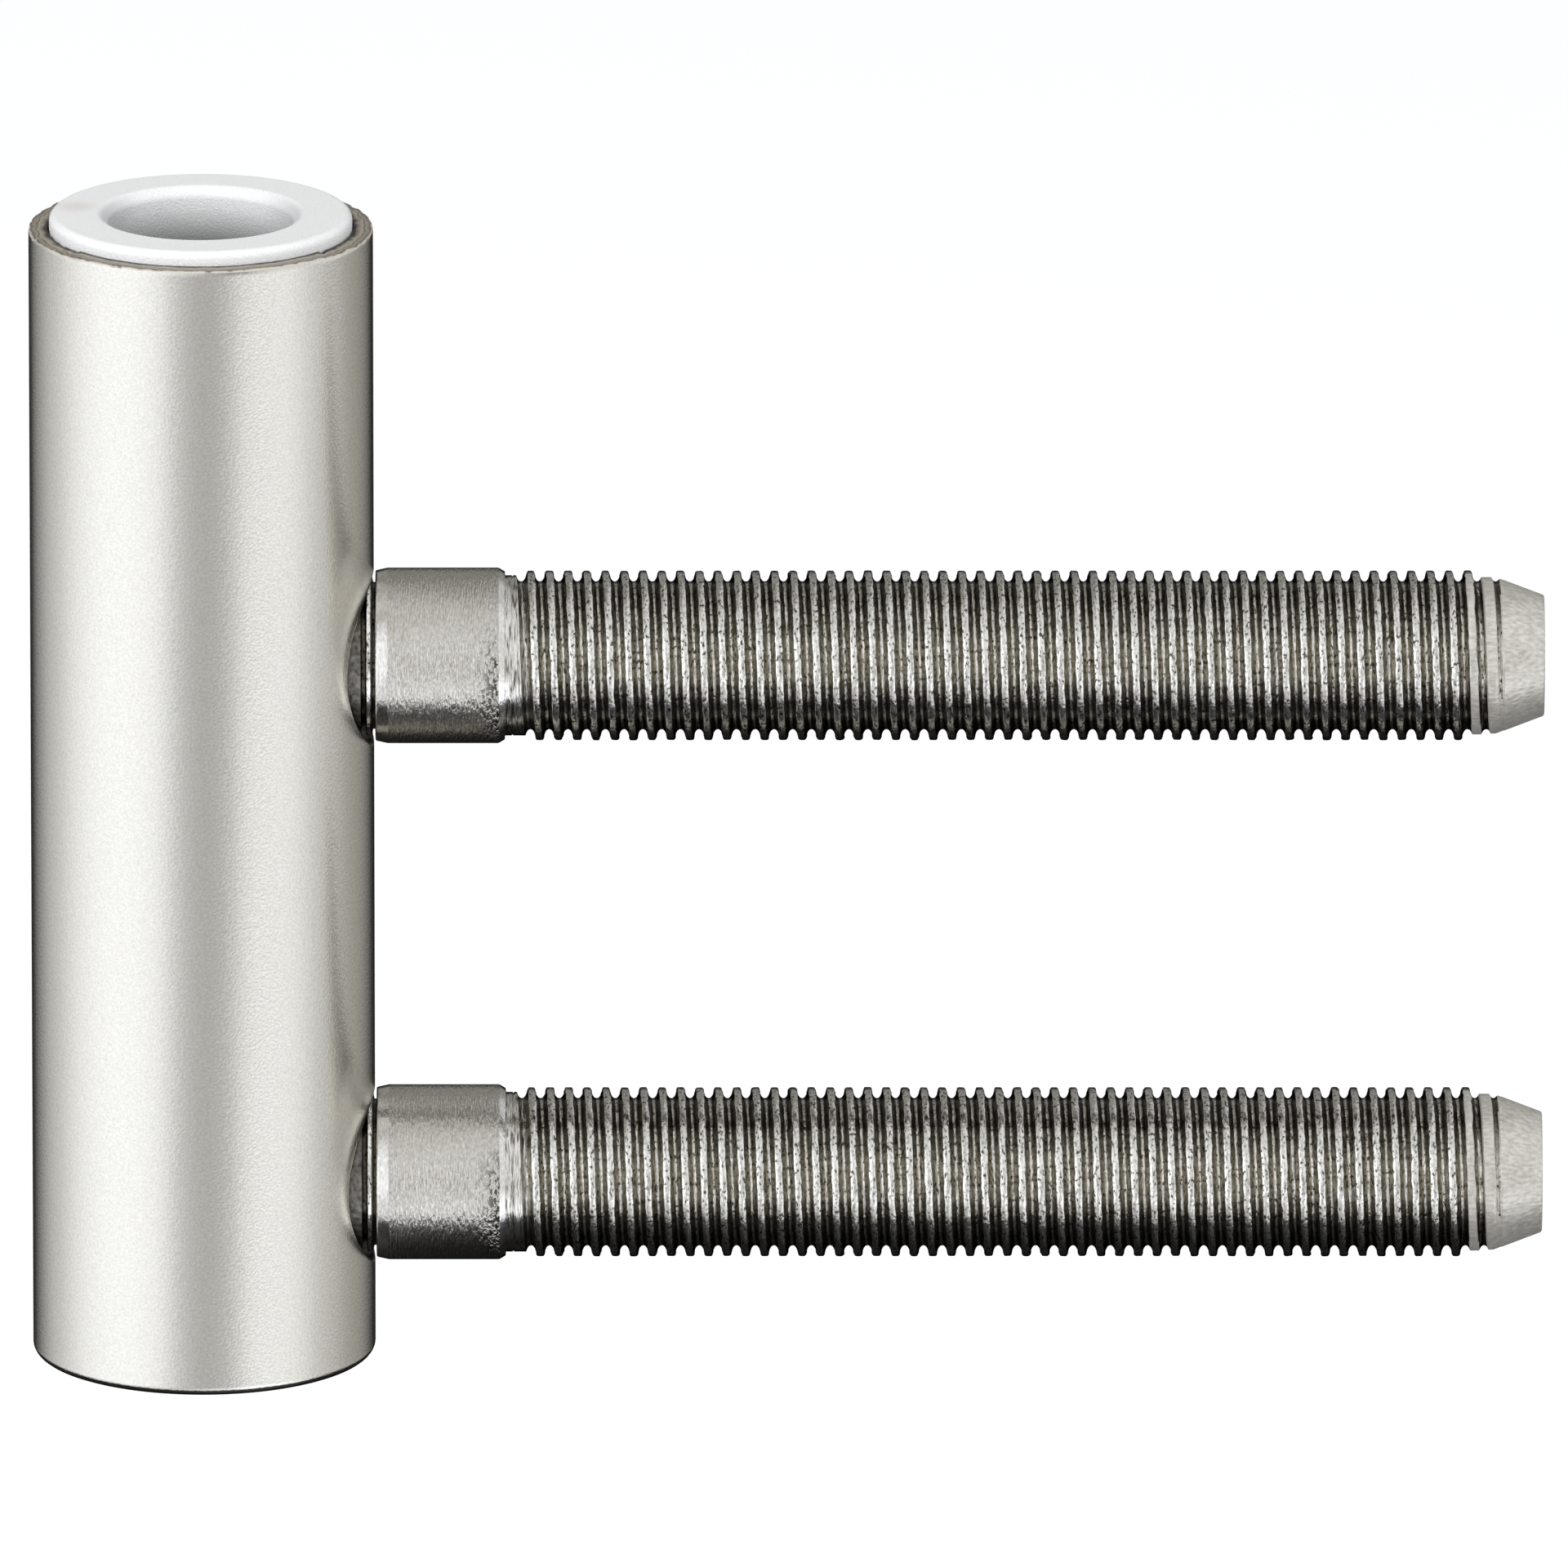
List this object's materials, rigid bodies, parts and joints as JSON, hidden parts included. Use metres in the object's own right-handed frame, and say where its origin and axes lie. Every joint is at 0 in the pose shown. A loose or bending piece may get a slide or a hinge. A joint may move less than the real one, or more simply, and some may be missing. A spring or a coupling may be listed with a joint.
{
  "type": "drill-in hinge half",
  "caption": "Half of a drill-in door hinge: a turned steel barrel with a plastic pin bush in its open end and threaded steel shanks that screw into the frame.",
  "frame": {"origin": "centre of the barrel's open end, on the axis that the hinge turns about", "axes": "+Z along the turning axis, out of the pin bore towards the other half of the hinge; +X along the shanks, away from the barrel"},
  "size_m": [0.0792, 0.018, 0.0619],
  "materials": {
    "nickel_barrel": "satin nickel plate",
    "nickel_shank": "matt nickel plate over a rolled thread",
    "white_bush": "white acetal, as moulded"
  },
  "bodies": {
    "root": {"barrel": "nickel_barrel", "bearing_bush": "white_bush", "upper_shank": "nickel_shank", "lower_shank": "nickel_shank"}
  },
  "joints": []
}
